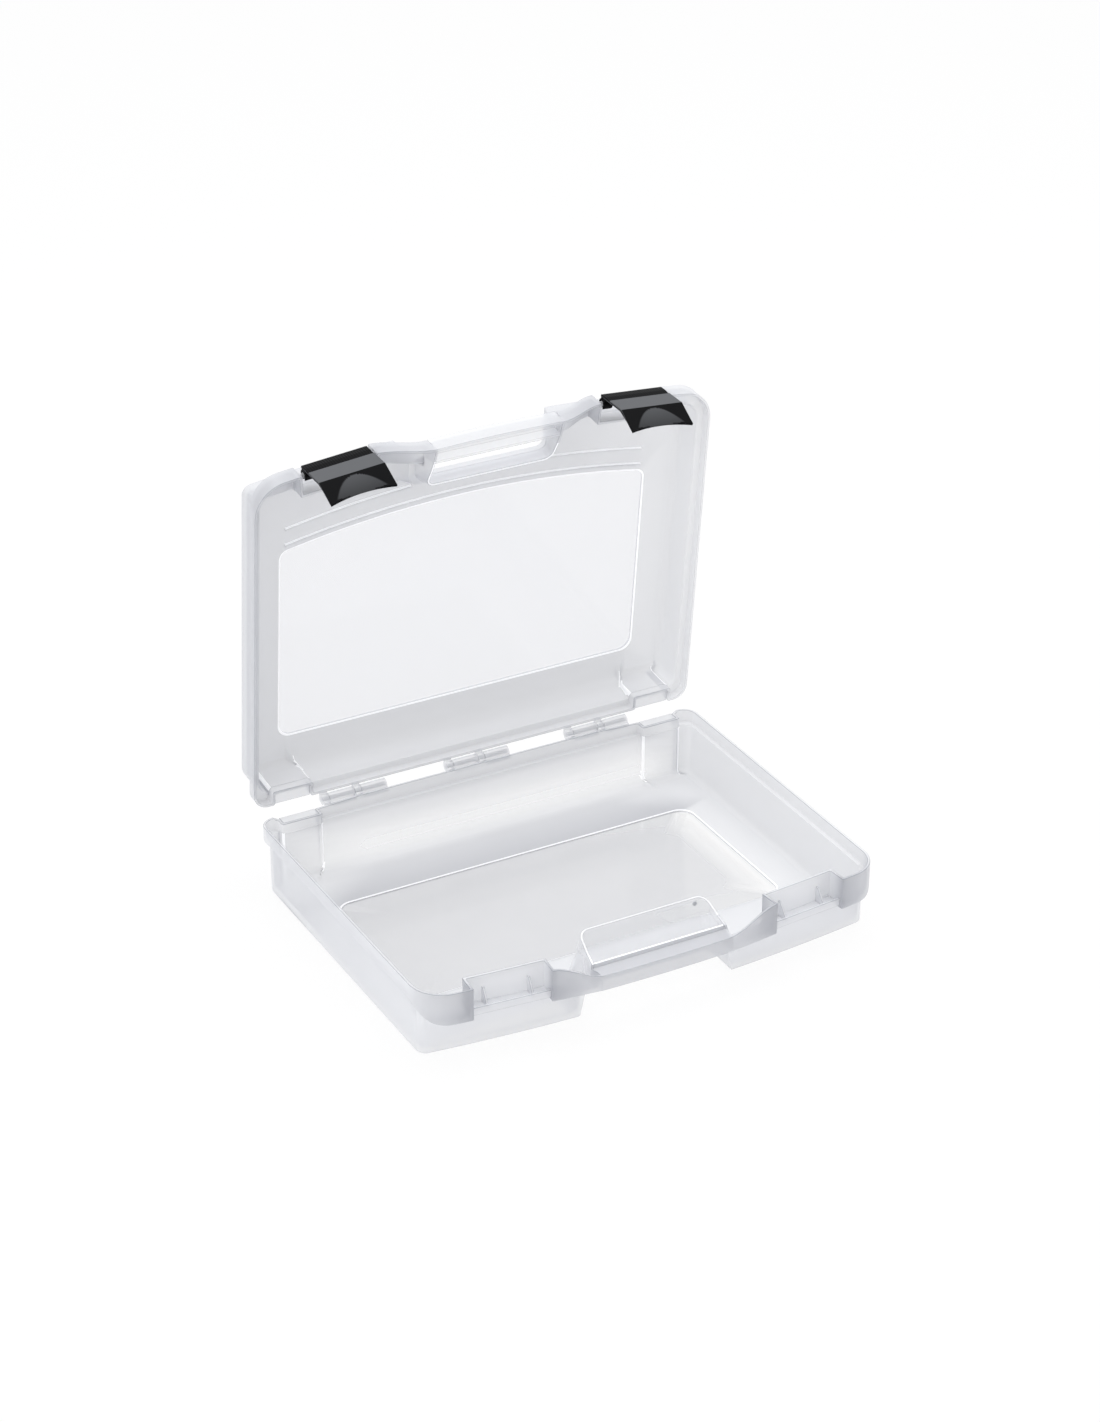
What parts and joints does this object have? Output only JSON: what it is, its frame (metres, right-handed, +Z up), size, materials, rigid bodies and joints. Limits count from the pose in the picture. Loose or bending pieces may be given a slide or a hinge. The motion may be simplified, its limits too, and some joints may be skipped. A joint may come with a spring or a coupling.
{
  "type": "saw blade storage case",
  "caption": "Shallow hinged carry case of translucent plastic with clear panels, black snap latches and a split carry handle, for storing circular saw blades.",
  "frame": {"origin": "middle of the tray's underside", "axes": "+X to the right, +Y to the rear with the hinges, +Z up; the handle is at -Y"},
  "size_m": [0.37, 0.3242, 0.3444],
  "materials": {
    "frosted_plastic": "translucent frosted moulded plastic, fine matte grain",
    "clear_plastic": "polished clear moulded plastic",
    "black_plastic": "black moulded plastic, fine grain"
  },
  "bodies": {
    "base": {"base_floor": "frosted_plastic", "base_tray": "frosted_plastic", "base_floor_panel": "clear_plastic", "base_rim": "frosted_plastic", "base_left_skirt": "frosted_plastic", "base_right_skirt": "frosted_plastic", "base_handle": "frosted_plastic", "left_catch_pocket": "frosted_plastic", "right_catch_pocket": "frosted_plastic", "base_left_knuckles": "frosted_plastic", "base_middle_knuckles": "frosted_plastic", "base_right_knuckles": "frosted_plastic", "left_hinge_pin": "frosted_plastic", "middle_hinge_pin": "frosted_plastic", "right_hinge_pin": "frosted_plastic"},
    "lid": {"lid_panel": "frosted_plastic", "lid_shell": "frosted_plastic", "lid_window": "clear_plastic", "lid_beads": "frosted_plastic", "lid_rim": "frosted_plastic", "lid_left_skirt": "frosted_plastic", "lid_right_skirt": "frosted_plastic", "lid_handle": "frosted_plastic", "lid_left_ears": "frosted_plastic", "lid_middle_ears": "frosted_plastic", "lid_right_ears": "frosted_plastic", "left_latch_seat": "frosted_plastic", "right_latch_seat": "frosted_plastic"},
    "left_latch": {"left_latch": "black_plastic"},
    "right_latch": {"right_latch": "black_plastic"}
  },
  "joints": [
    {"name": "lid_hinge", "type": "hinge", "parent": "base", "child": "lid", "pos_m": [0, 0.146, 0.055], "axis": [1, 0, 0], "range_deg": [0, 84]},
    {"name": "left_latch_pivot", "type": "hinge", "parent": "lid", "child": "left_latch", "pos_m": [-0.11964, 0.12358, 0.33524], "axis": [-0.9959, 0.0095, -0.0904], "range_deg": [-4, 100]},
    {"name": "right_latch_pivot", "type": "hinge", "parent": "lid", "child": "right_latch", "pos_m": [0.11964, 0.12358, 0.33524], "axis": [-0.9959, -0.0095, 0.0904], "range_deg": [-4, 100]}
  ]
}
